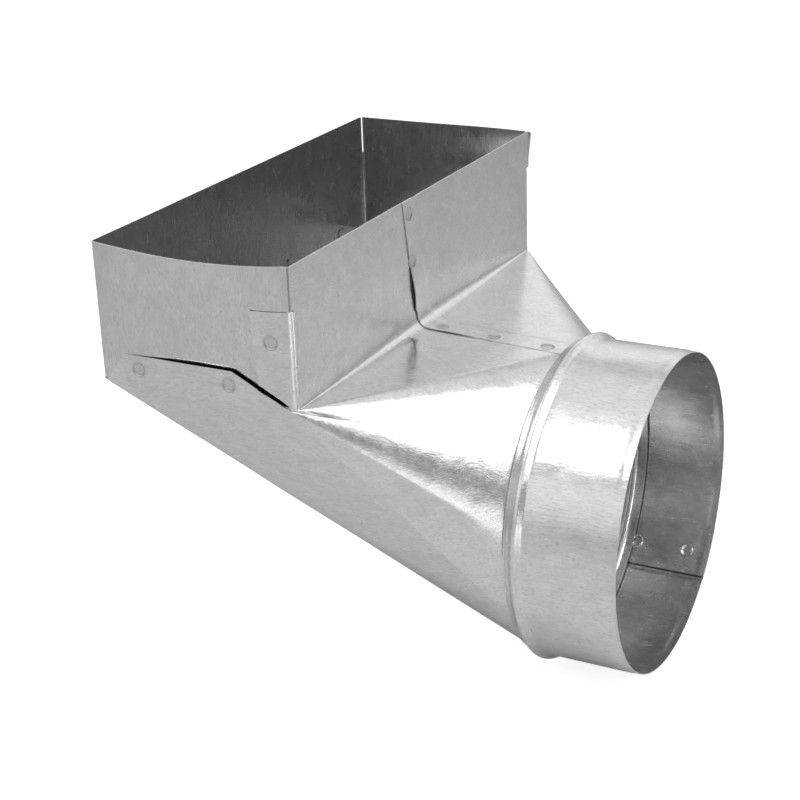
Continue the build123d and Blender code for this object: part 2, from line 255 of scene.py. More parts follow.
def grid(name, columns, rows, place):
    """Flat grid primitive whose vertices are then laid onto the sheet."""
    bpy.ops.object.select_all(action="DESELECT")
    bpy.ops.mesh.primitive_grid_add(x_subdivisions=columns - 1, y_subdivisions=rows - 1, size=1.0)
    piece = bpy.context.object
    piece.name = name
    for vertex in piece.data.vertices:
        column = round((vertex.co.x + 0.5) * (columns - 1))
        row = round((vertex.co.y + 0.5) * (rows - 1))
        vertex.co = place(column, row)
    return piece


def weld(name, patches):
    """Joins the patches of one sheet along their shared edges."""
    bpy.ops.object.select_all(action="DESELECT")
    for patch in patches:
        patch.select_set(True)
    bpy.context.view_layer.objects.active = patches[0]
    if len(patches) > 1:
        bpy.ops.object.join()
    piece = bpy.context.object
    piece.name = name
    piece.data.name = name
    bpy.ops.object.mode_set(mode="EDIT")
    bpy.ops.mesh.select_all(action="SELECT")
    bpy.ops.mesh.remove_doubles(threshold=0.03 * MM)
    bpy.ops.mesh.dissolve_degenerate(threshold=0.02 * MM)
    bpy.ops.mesh.normals_make_consistent(inside=False)
    bpy.ops.object.mode_set(mode="OBJECT")
    return piece


def face_out(piece, outwards):
    """Turns the sheet's faces so that most of them look the way the function says."""
    votes = sum(face.area * face.normal.dot(outwards(face.center)) for face in piece.data.polygons)
    if votes < 0:
        bpy.ops.object.mode_set(mode="EDIT")
        bpy.ops.mesh.select_all(action="SELECT")
        bpy.ops.mesh.flip_normals()
        bpy.ops.object.mode_set(mode="OBJECT")


def select_faces(piece, wanted):
    """Selects the faces that the test wants and no others."""
    bpy.ops.object.mode_set(mode="EDIT")
    bpy.ops.mesh.select_all(action="DESELECT")
    bpy.ops.object.mode_set(mode="OBJECT")
    chosen = [face for face in piece.data.polygons if wanted(face)]
    for face in chosen:
        face.select = True
    return chosen


def cut_selected(cuts):
    bpy.ops.object.mode_set(mode="EDIT")
    bpy.ops.mesh.subdivide(number_cuts=cuts)
    bpy.ops.object.mode_set(mode="OBJECT")


def press(piece, clinches):
    """Presses the round pocket of each clinch, with the faces round it made finer first."""
    for centre, out, radius, depth in clinches:
        def in_zone(face, centre=centre, out=out):
            away = face.center - centre
            return away.length < CLINCH_ZONE and abs(away.dot(out)) < CLINCH_THROUGH

        near = select_faces(piece, in_zone)
        if not near:
            continue
        longest = max(math.sqrt(face.area) for face in near)
        cut_selected(max(1, min(10, round(longest / CLINCH_FACE))))
        for vertex in piece.data.vertices:
            away = vertex.co - centre
            height = away.dot(out)
            if abs(height) > CLINCH_THROUGH:
                continue
            flat = (away - out * height).length
            if flat < radius * 2.0:
                pocket = 1.0 - smooth(radius * 0.84, radius * 1.06, flat)
                ring = bell(flat - radius * 1.22, radius * 0.14)
                vertex.co -= out * (depth * pocket - 0.2 * depth * ring)


def beside(path, spot):
    """Distance from a path of points, and the share of the path at the nearest place."""
    best = (1.0, 0.0)
    for index, (start, end) in enumerate(zip(path, path[1:])):
        run = end - start
        share = min(1.0, max(0.0, (spot - start).dot(run) / run.length_squared))
        best = min(best, ((spot - start - run * share).length, (index + share) / (len(path) - 1)))
    return best


def dent(piece, path, out):
    """Short crease pressed along a few points, with the faces beside it made finer first."""
    select_faces(piece, lambda face: beside(path, face.center)[0] < DENT_ZONE)
    cut_selected(5)
    for vertex in piece.data.vertices:
        away, run = beside(path, vertex.co)
        vertex.co -= out * DENT_DEPTH * bell(away, DENT_WIDTH) * math.sin(math.pi * run) ** 0.6


def ripple(piece, amount, size, seed):
    """Gives the thin sheet the slow unevenness of real metal."""
    for vertex in piece.data.vertices:
        push = noise.noise(vertex.co / size + Vector((seed, 0.0, 0.0)))
        vertex.co += vertex.normal * push * amount


def crumple(piece):
    """Crushed metal just behind the neck, on the right and low down, where the photograph looks in."""
    for vertex in piece.data.vertices:
        around = math.degrees(math.atan2(vertex.co.x, vertex.co.z))
        near = smooth(88.0, 100.0, around) * smooth(150.0, 138.0, around)
        near *= smooth(53.7 * MM, 57.0 * MM, vertex.co.y) * smooth(86.0 * MM, 72.0 * MM, vertex.co.y)
        if near > 0.0:
            outward = Vector((vertex.co.x, 0.0, vertex.co.z)).normalized()
            vertex.co += outward * near * CRUMPLE_HEIGHT * noise.noise(vertex.co / CRUMPLE_SIZE)


def thicken(piece, thickness, inside, marks):
    """Gives the sheet its thickness, and keeps each spot's painted shade in the dull attribute, inside by one
    function and, by the marks, outside.
    """
    count = len(piece.data.vertices)
    first = piece.data.vertices[0].co.copy()
    bpy.ops.object.select_all(action="DESELECT")
    piece.select_set(True)
    bpy.context.view_layer.objects.active = piece
    wall = piece.modifiers.new("Thickness", "SOLIDIFY")
    wall.thickness = thickness
    wall.offset = -1.0
    bpy.ops.object.modifier_apply(modifier=wall.name)
    bpy.ops.object.shade_smooth_by_angle(angle=math.radians(32.0))
    outside_first = (piece.data.vertices[0].co - first).length < 0.01 * MM
    # The dull attribute holds painted shade: how far the zinc colour goes towards near-black
    dull = piece.data.attributes.new("dull", "FLOAT", "POINT")
    for index, vertex in enumerate(piece.data.vertices):
        if (index < count) == outside_first:
            dull.data[index].value = 1.0 - math.prod(1.0 - mark(vertex.co) for mark in marks)
        else:
            dull.data[index].value = inside(vertex.co)


# Marks, each of which says how much painted shade darkens a spot

def inside_painted_shade(spot):
    """Painted shade on the inside, deepest in the box."""
    return mix(THROAT_PAINTED_SHADE, BOX_PAINTED_SHADE, smooth(40.0 * MM, 85.0 * MM, spot.z))


def clinch_painted_shade(clinch, pocket_shade=0.12):
    """Painted shade on the floor and round the edge of a pressed clinch."""
    def mark(spot):
        away = spot - clinch.centre
        height = away.dot(clinch.out)
        if abs(height) > CLINCH_THROUGH or away.length > 2.0 * clinch.radius:
            return 0.0
        flat = (away - clinch.out * height).length
        floor = 1.0 - smooth(clinch.radius * 0.8, clinch.radius, flat)
        return pocket_shade * floor + 0.3 * bell(flat - clinch.radius, clinch.radius * 0.16)
    return mark


def dent_painted_shade(spot):
    """Painted shade along the dent: a dark line in place of the crease's dark reflection."""
    if (spot - DENT_PATH[0]).length > DENT_REACH:
        return 0.0
    away, run = beside(DENT_PATH, spot)
    return DENT_PAINTED_SHADE * bell(away, DENT_PAINTED_SHADE_WIDTH) * math.sin(math.pi * run) ** 0.8


def finish_piece(piece, node, rolled):
    piece.data.materials.clear()
    piece.data.materials.append(zinc_material(rolled))
    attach(piece, "root")
    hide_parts(node)


# Shader nodes

def feed(tree, socket, value):
    """Links a socket to another node's output, or gives it a plain value."""
    if isinstance(value, bpy.types.NodeSocket):
        tree.links.new(value, socket)
    else:
        socket.default_value = value


def add_node(tree, kind, **values):
    """Adds a node and feeds the sockets that are named, with a low line for each space."""
    node = tree.nodes.new("ShaderNode" + kind)
    for name, value in values.items():
        feed(tree, node.inputs[name.replace("_", " ")], value)
    return node


def maths(tree, operation, first, second):
    node = add_node(tree, "Math")
    node.operation = operation
    feed(tree, node.inputs[0], first)
    feed(tree, node.inputs[1], second)
    return node.outputs["Value"]


def weighted(tree, *parts):
    """Sum of maps, each times its share."""
    total = None
    for part, share in parts:
        term = maths(tree, "MULTIPLY", part, share)
        total = maths(tree, "ADD", total, term) if total else term
    return total


def colour_mix(tree, share, first, second):
    node = add_node(tree, "Mix")
    node.data_type = "RGBA"
    for name, value in (("Factor", share), ("A", first), ("B", second)):
        feed(tree, node.inputs[name], value)
    return node.outputs["Result"]


def colour_ramp(tree, value, stops):
    """Ramp through the stops, each a position and a colour."""
    ramp = add_node(tree, "ValToRGB", Fac=value)
    while len(ramp.color_ramp.elements) < len(stops):
        ramp.color_ramp.elements.new(0.5)
    for element, (position, colour) in zip(ramp.color_ramp.elements, stops):
        element.position = position
        element.color = (*colour, 1.0)
    return ramp.outputs["Color"]


# Galvanised finish

def zinc_material(rolled):
    """Zinc coat: mottled grey, faint spangle, fine streaks and flecks along the rolling, slow ripples."""
    name = "galvanised_rolled_" + rolled
    known = bpy.data.materials.get(name)
    if known:
        return known
    finish = bpy.context.scene.boot_finish
    material = bpy.data.materials.new(name)
    material.use_nodes = True
    tree = material.node_tree
    shader = tree.nodes["Principled BSDF"]
    shader.inputs["Metallic"].default_value = finish.metallic
    spot = add_node(tree, "TexCoord").outputs["Object"]

    def noise_map(across, along, detail, rough):
        """Noise with so many marks a metre across the rolling direction and along it."""
        place, scale = spot, across
        if across != along:
            scales = [along if axis == rolled else across for axis in "XYZ"]
            place, scale = add_node(tree, "Mapping", Vector=spot, Scale=scales).outputs["Vector"], 1.0
        node = add_node(tree, "TexNoise", Vector=place, Scale=scale, Detail=detail, Roughness=rough)
        return node.outputs["Fac"]

    mottle = noise_map(190.0, 120.0, 3.0, 0.6)
    cloud = noise_map(11.0, 11.0, 3.0, 0.5)
    streak = noise_map(950.0, 120.0, 3.0, 0.65)
    fleck = noise_map(1500.0, 420.0, 1.0, 0.5)
    grain = noise_map(1400.0, 1400.0, 2.0, 0.5)
    swell = noise_map(55.0, 30.0, 2.0, 0.5)
    pebble = noise_map(420.0, 200.0, 2.0, 0.6)
    spangle = add_node(tree, "TexVoronoi", Vector=spot, Scale=210.0, Randomness=1.0)
    flake = add_node(tree, "SeparateColor", Color=spangle.outputs["Color"])

    tone = weighted(tree, (mottle, 0.28), (cloud, 0.3), (streak, 0.36), (flake.outputs["Red"], 0.06))
    above = maths(tree, "MAXIMUM", maths(tree, "SUBTRACT", fleck, 0.58), 0.0)
    tone = maths(tree, "SUBTRACT", tone, maths(tree, "MULTIPLY", above, 2.4))
    zinc = colour_ramp(tree, tone, ((0.33, finish.zinc_dark), (0.67, finish.zinc_light)))
    # Painted shade: the dull attribute darkens the zinc colour towards near-black
    dull = add_node(tree, "Attribute")
    dull.attribute_name = "dull"
    feed(tree, shader.inputs["Base Color"], colour_mix(tree, dull.outputs["Fac"], zinc, PAINTED_SHADE_COLOUR))

    rough = weighted(tree, (mottle, 0.16), (flake.outputs["Green"], 0.05), (streak, 0.08))
    feed(tree, shader.inputs["Roughness"], maths(tree, "ADD", rough, finish.roughness - 0.14))

    height = weighted(tree, (swell, 1.0), (streak, 0.14), (pebble, 0.04), (grain, 0.012))
    bump = add_node(tree, "Bump", Strength=1.0, Distance=0.5 * MM, Height=height)
    feed(tree, shader.inputs["Normal"], bump.outputs["Normal"])
    return material


# Body

class Half:
    """One half of the body: its stations run from the front seam round the end to the seam under the heel."""

    def __init__(self, side, edges, heel_edge, lapped):
        scene = bpy.context.scene
        self.box = scene.boot_box
        self.collar = scene.boot_collar
        self.layer = scene.boot_finish.layer
        self.side = side
        self.rim_edge, self.fold_edge, self.neck_edge = edges
        self.heel_edge = heel_edge
        self.lapped = lapped
        self.half = self.box.length / 2.0
        self.reach = self.half - self.box.corner
        self.front = self.collar.reach
        self.back = self.front + self.box.width
        self.rim = self.collar.drop
        self.fold = self.rim - self.box.wall
        self.slit = self.rim - self.box.flange
        self.flange_rows = [self.slit - SLIT_HALF]
        self.flange_rows += [mix(self.slit + SLIT_HALF, self.rim, step / FLANGE_ROWS)
                             for step in range(FLANGE_ROWS + 1)]
        self.neck_plane = self.collar.length + 0.1 * MM
        far = math.hypot(self.half, self.fold)
        self.gusset = 90.0 - math.degrees(math.atan2(self.fold, self.half))
        self.gusset += math.degrees(math.acos(self.collar.neck / far))
        self.stations = self.find_stations()
        self.columns = [self.column(station) for station in self.stations]

    def find_stations(self):
        """Each has its place on the fold line, its wall's facing, its neck angle and the fold's rounding."""
        corner, found = self.box.corner, []
        shares = {kind: steps(0.0, 1.0, count) for kind, count in COLUMNS.items()}
        start = math.degrees(math.asin(self.neck_edge / self.collar.neck))
        for share in shares["front"]:
            x = mix(self.fold_edge, self.reach, share)
            lens = max(0.0, 1.0 - (abs(x) / self.reach) ** 1.5)
            found.append(Station("front", share, (x, self.front), -90.0, mix(start, FLAT_ANGLE, share),
                                 BEND + self.box.fold_round * lens))
        middle = (self.reach, self.front + corner)
        for share in shares["corner"]:
            facing = mix(-90.0, 0.0, min(1.0, share * 1.6))
            found.append(Station("corner", share, self.about(middle, facing), facing,
                                 mix(FLAT_ANGLE, CREASE_ANGLE, share), CORNER_BEND))
        for share in shares["fan"]:
            found.append(Station("fan", share, (self.half, self.front + corner), 0.0,
                                 mix(CREASE_ANGLE, self.gusset, share), BEND))
        for share in shares["side"]:
            y = mix(self.front + corner, self.back - corner, share)
            found.append(Station("side", share, (self.half, y), 0.0, self.gusset, BEND))
        middle = (self.reach, self.back - corner)
        for share in shares["turn"]:
            facing = mix(0.0, 90.0, share)
            found.append(Station("turn", share, self.about(middle, facing), facing,
                                 mix(self.gusset, HEEL_ANGLE, share), BEND))
        end = 180.0 - math.degrees(math.asin(self.heel_edge / self.collar.neck))
        for share in shares["back"] + [1.0]:
            x = mix(self.reach, self.heel_edge, share)
            found.append(Station("back", share, (x, self.back), 90.0, mix(HEEL_ANGLE, end, share), BEND))
        return found

    def about(self, middle, facing):
        """Place on a corner's bend."""
        turn = math.radians(facing)
        return (middle[0] + self.box.corner * math.cos(turn), middle[1] + self.box.corner * math.sin(turn))

    def first(self, kind):
        return next(index for index, station in enumerate(self.stations) if station.kind == kind)

    def neck_point(self, angle, y, rise=0.0):
        radius = self.collar.neck + rise
        turn = math.radians(angle)
        return Vector((radius * math.sin(turn), y, radius * math.cos(turn)))

    def chord(self, station, neck):
        """Where a station's line starts; the gusset's lines start on a straight line and not on the neck."""
        if station.kind != "fan":
            return neck
        start = self.neck_point(CREASE_ANGLE, self.neck_plane)
        end = self.neck_point(self.gusset, self.neck_plane)
        return start.lerp(end, station.share)

    def surface_normal(self, station, fold, neck):
        """Outward direction of the transition along a station's line."""
        if station.kind in ("front", "back"):
            run = Vector((1.0, 0.0, 0.0))
        elif station.kind == "side":
            run = BEHIND
        else:
            turn = math.radians(station.angle)
            run = Vector((math.cos(turn), 0.0, -math.sin(turn)))
        normal = (neck - fold).cross(run)
        if normal.dot(Vector((fold.x + neck.x, 0.0, neck.z))) < 0:
            normal.negate()
        return normal.normalized()

    def column(self, station):
        """Points of one station from the neck's free edge up to the fold, each with its outward direction."""
        fold = Vector((*station.place, self.fold))
        neck = self.neck_point(station.angle, self.neck_plane)
        start = self.chord(station, neck)
        turn = math.radians(station.facing)
        outward = Vector((math.cos(turn), math.sin(turn), 0.0))
        radial = (neck - Vector((0.0, neck.y, 0.0))).normalized()
        bead_middle = self.collar.length - NECK_BEAD_SETBACK
        points = []
        for y in NECK_ROWS:
            rise = NECK_BEAD * hump(abs(y - bead_middle) / NECK_BEAD_HALF)
            points.append((self.neck_point(station.angle, y, rise), radial))
        length = (fold - neck).length
        wedge = math.acos(max(-1.0, min(1.0, UP.dot((neck - fold).normalized()))))
        setback = min(station.rounding / math.tan(wedge / 2.0), MOST_SETBACK)
        ruled_end = 1.0 - setback / length
        normal = self.surface_normal(station, fold, neck)
        for step in range(1, TRANSITION_ROWS + 1):
            reached = ruled_end * step / TRANSITION_ROWS
            target = neck.lerp(start, smooth(0.02, 0.3, reached))
            points.append((target.lerp(fold, reached), normal))
        low = points[-1][0]
        high = fold + UP * setback
        for step in range(1, FOLD_ROWS + 1):
            bend = step / FOLD_ROWS
            spot = low * (1.0 - bend) ** 2 + fold * 2.0 * bend * (1.0 - bend) + high * bend ** 2
            points.append((spot, normal.lerp(outward, bend).normalized()))
        return Column(points, outward, setback)

    def lap_rise(self, point):
        """The covering sheet stands one layer proud along the seams and steps down behind them."""
        if not self.lapped:
            return 0.0
        if point.y > self.back - 2.0 * MM or point.z < 0.35 * self.fold and abs(point.x) < 60.0 * MM:
            edge = self.heel_edge
        elif point.z > self.fold:
            edge = mix(self.fold_edge, self.rim_edge, (point.z - self.fold) / self.box.wall)
        else:
            back_off = (point.y - self.neck_plane) / (self.front - self.neck_plane)
            edge = mix(self.neck_edge, self.fold_edge, back_off)
        return self.layer * (1.0 - smooth(12.0 * MM, 15.5 * MM, point.x - edge))

    def edge_lift(self, point):
        """The covering sheet springs open along the lower part of the front seam and just below the fold."""
        if not self.lapped or point.y > self.front + 1.0 * MM:
            return 0.0
        if point.z > self.fold:
            rise = (point.z - self.fold) / self.box.wall
            edge = mix(self.fold_edge, self.rim_edge, rise)
            open_up = 1.1 * MM * bell(rise - 0.3, 0.16)
        else:
            edge = self.fold_edge
            back_off = (self.front - point.y) / (self.front - self.neck_plane)
            open_up = 0.35 * MM * bell(back_off - 0.25, 0.16)
        return open_up * math.exp(-max(0.0, point.x - edge) / (4.0 * MM))

    def flange_end_painted_shade(self, spot):
        """Painted shade: dark line in the gap where the front flange ends at the corner."""
        if spot.z < self.slit or spot.y > self.front + 1.0 * MM:
            return 0.0
        return 0.6 * smooth(self.half - 1.0 * MM, self.half, abs(spot.x))

    def lay(self, point, outward):
        """Lifts a point by the lap and mirrors it to its own side."""
        spot = point + outward * (self.lap_rise(point) + self.edge_lift(point))
        return Vector((spot.x * self.side, spot.y, spot.z))

    def across(self, share, z):
        """Place across the front wall, from the slanting seam edge to the corner's bend."""
        rise = (z - self.fold) / self.box.wall
        return mix(mix(self.fold_edge, self.rim_edge, rise), self.reach, share)

    def build(self, name):
        patches = [self.transition(name), self.front_wall(name), self.flange(name), self.flange_end(name),
                   self.wrap(name), self.tab(name, "side", self.first("turn") + 1),
                   self.tab(name, "back", len(self.stations))]
        piece = weld(name, patches)
        face_out(piece, lambda centre: Vector((centre.x, centre.y - 150.0 * MM, centre.z - 40.0 * MM)))
        return piece

    def transition(self, name):
        """Neck, square-to-round transition and fold."""
        def place(column, row):
            return self.lay(*self.columns[column].points[row])

        return grid(name + "_low", len(self.stations), len(self.columns[0].points), place)

    def front_wall(self, name):
        """Front wall and corner bend, from the fold up to the slit."""
        def place(column, row):
            station = self.stations[column]
            points, outward, setback = self.columns[column]
            in_front = station.kind == "front"
            if row == 0 and in_front:
                return self.lay(points[-1][0], outward)
            x, y = station.place
            z = self.fold + setback
            if row > 0:
                second = z + 1.5 * MM if in_front else self.fold + max(WRAP_LIFT, setback + 0.3 * MM)
                z = mix(second, self.slit - SLIT_HALF, (row - 1) / WALL_ROWS)
            if in_front:
                x = self.across(station.share, z)
            return self.lay(Vector((x, y, z)), outward)

        return grid(name + "_front", self.first("fan") + 1, WALL_ROWS + 2, place)

    def flange(self, name):
        """Flat front flange above the slit, up to the corner's bend."""
        def place(column, row):
            station = self.stations[column]
            share = station.share if station.kind == "front" else 1.0
            z = self.flange_rows[row]
            return self.lay(Vector((self.across(share, z), self.front, z)), AHEAD)

        return grid(name + "_flange", self.first("corner") + 1, len(self.flange_rows), place)

    def flange_end(self, name):
        """The flange runs on flat past the corner's bend."""
        def place(column, row):
            x = mix(self.reach, self.half, column / 2.0)
            return self.lay(Vector((x, self.front, self.flange_rows[row + 1])), AHEAD)

        return grid(name + "_flange_end", 3, len(self.flange_rows) - 1, place)

    def wrap(self, name):
        """End of the front wall, bent round the corner onto the end wall."""
        run = self.box.wrap - self.box.corner

        def place(column, row):
            depth = run * column / WRAP_COLUMNS
            low = self.fold + WRAP_LIFT + TAB_FRONT_SLOPE * depth + 0.3 * MM * smooth(0.0, 4.0 * MM, depth)
            z = mix(low, self.slit - SLIT_HALF, row / WALL_ROWS)
            out = bow_out(self.box, depth, z - self.fold - self.box.tab) if self.side < 0 else 0.0
            return self.lay(Vector((self.half + out, self.front + self.box.corner + depth, z)),
                            Vector((1.0, 0.0, 0.0)))

        return grid(name + "_wrap", WRAP_COLUMNS + 1, WALL_ROWS + 1, place)

    def tab(self, name, kind, stop):
        """Tab above the fold that lies on the box sheet, a little sprung towards its top edge."""
        start = self.first(kind)

        def place(column, row):
            station = self.stations[start + column]
            points, outward, setback = self.columns[start + column]
            bottom = points[-1][0]
            share = row / TAB_ROWS
            z = max(bottom.z, mix(bottom.z, self.tab_top(station), share))
            lift = 0.3 * MM
            if kind == "side":
                lift = 0.6 * MM * (1.0 - station.share) * smooth(0.0, 0.1, station.share)
            lift *= share ** 2 * (1.0 + noise.noise(bottom * 40.0))
            return self.lay(Vector((*station.place, z)) + outward * lift, outward)

        return grid(name + "_tab_" + kind, stop - start, TAB_ROWS + 1, place)

    def tab_top(self, station):
        x, y = station.place
        if station.kind == "side":
            ahead = y - (self.front + self.box.corner)
            return self.fold + tab_height(self.box, ahead, self.back - self.box.corner - y)
        if station.kind == "back":
            return self.fold + tab_height(self.box, math.inf, self.reach - x)
        return self.fold


def clinch_places():
    """The clinches of the seams, and of the tabs on either side."""
    scene = bpy.context.scene
    box, collar, layer = scene.boot_box, scene.boot_collar, scene.boot_finish.layer
    front, rim = collar.reach, collar.drop
    fold, back, half = rim - box.wall, front + box.width, box.length / 2.0
    seam = []
    for drop, setback in ((6.5 * MM, 4.7 * MM), (30.0 * MM, 2.5 * MM)):
        x = mix(RIGHT_EDGES[0], RIGHT_EDGES[1], drop / box.wall) + setback
        seam.append(Clinch(Vector((x, front - layer, rim - drop)), AHEAD))
    flat_out = Vector((0.0, collar.neck - fold, front - collar.length)).normalized()
    heel_out = Vector((0.0, collar.neck + fold, collar.length - back)).normalized()
    for start, end, out, shares in (
        ((-5.4 * MM, front, fold), (-3.4 * MM, collar.length, collar.neck), flat_out, (0.15, 0.51, 0.88)),
        ((-1.5 * MM, back, fold), (-1.5 * MM, collar.length, -collar.neck), heel_out, (0.15, 0.5, 0.85)),
    ):
        seam += [Clinch(Vector(start).lerp(Vector(end), share) + out * layer, out) for share in shares]
    wrap_depth, wrap_height = 9.7 * MM, rim - 33.7 * MM
    tabs = {}
    for side in (-1, 1):
        out = Vector((side, 0.0, 0.0))
        bow = bow_out(box, wrap_depth - box.corner, wrap_height - fold - box.tab) if side < 0 else 0.0
        spots = [(side * half, front + setback, fold + 7.5 * MM) for setback in (33.0 * MM, 80.0 * MM)]
        spots.append((side * (half + bow), front + wrap_depth, wrap_height))
        tabs[side] = [Clinch(Vector(spot), out) for spot in spots]
        tabs[side] += [Clinch(Vector((side * span, back, fold + 5.0 * MM)), BEHIND)
                       for span in (40.0 * MM, 95.0 * MM)]
    return seam, tabs


# Operators, one for each sheet and one for the stage

class BOOT_OT_left_shell(bpy.types.Operator):
    """Lays the left half of the body, which runs under the right half at both seams"""
    bl_idname = "boot.left_shell"
    bl_label = "Left shell"

    def execute(self, context):
        half = Half(-1, LEFT_EDGES, LEFT_HEEL_EDGE, False)
        piece = half.build("left_half")
        dent(piece, DENT_PATH, UP)
        ripple(piece, *SHELL_RIPPLE)
        seam, tabs = clinch_places()
        press(piece, seam + tabs[-1])
        # Painted shade in the tab clinches, at the flange end and along the dent
        marks = [clinch_painted_shade(clinch) for clinch in tabs[-1]] + [half.flange_end_painted_shade, dent_painted_shade]
        thicken(piece, context.scene.boot_finish.thickness, inside_painted_shade, marks)
        finish_piece(piece, "left_shell", "Y")
        return {"FINISHED"}


class BOOT_OT_right_shell(bpy.types.Operator):
    """Lays the right half of the body, which covers the left half up to the two seams"""
    bl_idname = "boot.right_shell"
    bl_label = "Right shell"

    def execute(self, context):
        half = Half(1, RIGHT_EDGES, RIGHT_HEEL_EDGE, True)
        piece = half.build("right_half")
        ripple(piece, *SHELL_RIPPLE)
        crumple(piece)
        seam, tabs = clinch_places()
        press(piece, seam + tabs[1])
        # Painted shade in the clinches and at the flange end
        marks = [clinch_painted_shade(clinch) for clinch in tabs[1] + seam[:2]]
        marks += [clinch_painted_shade(clinch, 0.3) for clinch in seam[2:]] + [half.flange_end_painted_shade]
        thicken(piece, context.scene.boot_finish.thickness, inside_painted_shade, marks)
        finish_piece(piece, "right_shell", "Y")
        return {"FINISHED"}


class BOOT_OT_box_sheet(bpy.types.Operator):
    """Bends the one strip that makes the back wall and both end walls"""
    bl_idname = "boot.box_sheet"
    bl_label = "Box sheet"

    def execute(self, context):
        scene = context.scene
        box, collar, layer = scene.boot_box, scene.boot_collar, scene.boot_finish.layer
        front, rim = collar.reach, collar.drop
        fold, band = rim - box.wall, rim - box.flange
        wall_x, back = box.length / 2.0 - layer, front + box.width - layer
        radius = box.corner - layer
        bend = front + box.corner
        free_end = [bend - FREE_END, bend - FREE_END / 2.0]
        turns = [0.0, 15.0, 30.0, 39.0, 51.0, 60.0, 75.0]
        path = [("left", y) for y in free_end + steps(bend, back - radius, 72)]
        path += [("left_turn", turn) for turn in turns]
        path += [("back", x) for x in steps(-wall_x + radius, wall_x - radius, 90)]
        path += [("right_turn", turn) for turn in turns]
        path += [("right", y) for y in steps(back - radius, bend, 40) + [bend] + free_end[::-1]]
        heights = steps(fold + 1.0 * MM, fold + 20.0 * MM, 48) + steps(fold + 20.0 * MM, band, 12)
        heights += steps(band, rim, 10) + [rim]

        def tab_top(y):
            return fold + tab_height(box, y - bend, back - box.corner - y)

        def gap_painted_shadow(spot):
            """Painted shadow in the crevice behind the tab's top edge, widest under the wrap and gone near
            the back.
            """
            depth = spot.y - bend
            if spot.z > band or abs(spot.x) < wall_x - 4.0 * MM or depth > 80.0 * MM:
                return 0.0
            height = 0.35 * MM * smooth(80.0 * MM, 60.0 * MM, depth)
            height += 0.7 * MM * smooth(29.0 * MM, 26.0 * MM, depth)
            height += 2.0 * MM * smooth(15.5 * MM, 14.0 * MM, depth)
            return smooth(height + 0.25 * MM, height - 0.1 * MM, spot.z - tab_top(spot.y))

        def end_wall(kind, y, z):
            """The end walls are tucked in at the tab's top; the left one bows and the right one flares."""
            if z < band - 0.01 * MM:
                y = max(y, bend)
            tucked = 0.9 * MM * bell(z - tab_top(y) + 0.6 * MM, 1.8 * MM)
            tucked *= smooth(80.0 * MM, 50.0 * MM, y - bend)
            if kind == "left":
                return Vector((tucked - wall_x - bow_out(box, y - bend, z - fold - box.tab), y, z))
            rise = smooth(-0.2, 1.0, (z - band) / box.flange) if z > band else 0.0
            near = max(0.0, 1.0 - (y - free_end[0]) / (back - radius - bend))
            out = box.right_flare * near ** 2.6 * rise - tucked
            return Vector((wall_x + out, y, z - 1.6 * MM * near ** 6 * rise))

        def place(column, row):
            kind, value = path[column]
            z = heights[row]
            if kind in ("left", "right"):
                return end_wall(kind, value, z)
            if kind == "back":
                return Vector((value, back, z))
            turn = math.radians(value)
            inset, run = radius * math.cos(turn), radius * math.sin(turn)
            if kind == "left_turn":
                return Vector((-wall_x + radius - inset, back - radius + run, z))
            return Vector((wall_x - radius + run, back - radius + inset, z))

        def in_slit(face):
            middle = face.center
            off = abs(abs(middle.x) - (wall_x - radius + radius * math.sqrt(0.5)))
            return off < 0.3 * MM and middle.y > back - radius and middle.z > band

        piece = weld("box_strip", [grid("strip", len(path), len(heights), place)])
        face_out(piece, lambda centre: Vector((centre.x, (centre.y - front - box.width / 2.0) * 2.0, 0.0)))
        select_faces(piece, in_slit)
        bpy.ops.object.mode_set(mode="EDIT")
        bpy.ops.mesh.select_mode(type="FACE")
        bpy.ops.mesh.delete(type="FACE")
        bpy.ops.object.mode_set(mode="OBJECT")
        ripple(piece, *STRIP_RIPPLE)
        seam, tabs = clinch_places()
        press(piece, tabs[-1] + tabs[1])
        # Painted shadow behind the tabs' top edges, an even painted shade over the outside, and painted shade
        # inside
        thicken(piece, scene.boot_finish.thickness, inside_painted_shade, [gap_painted_shadow, lambda spot: BOX_SHEET_PAINTED_SHADE])
        finish_piece(piece, "box_sheet", "Z")
        return {"FINISHED"}


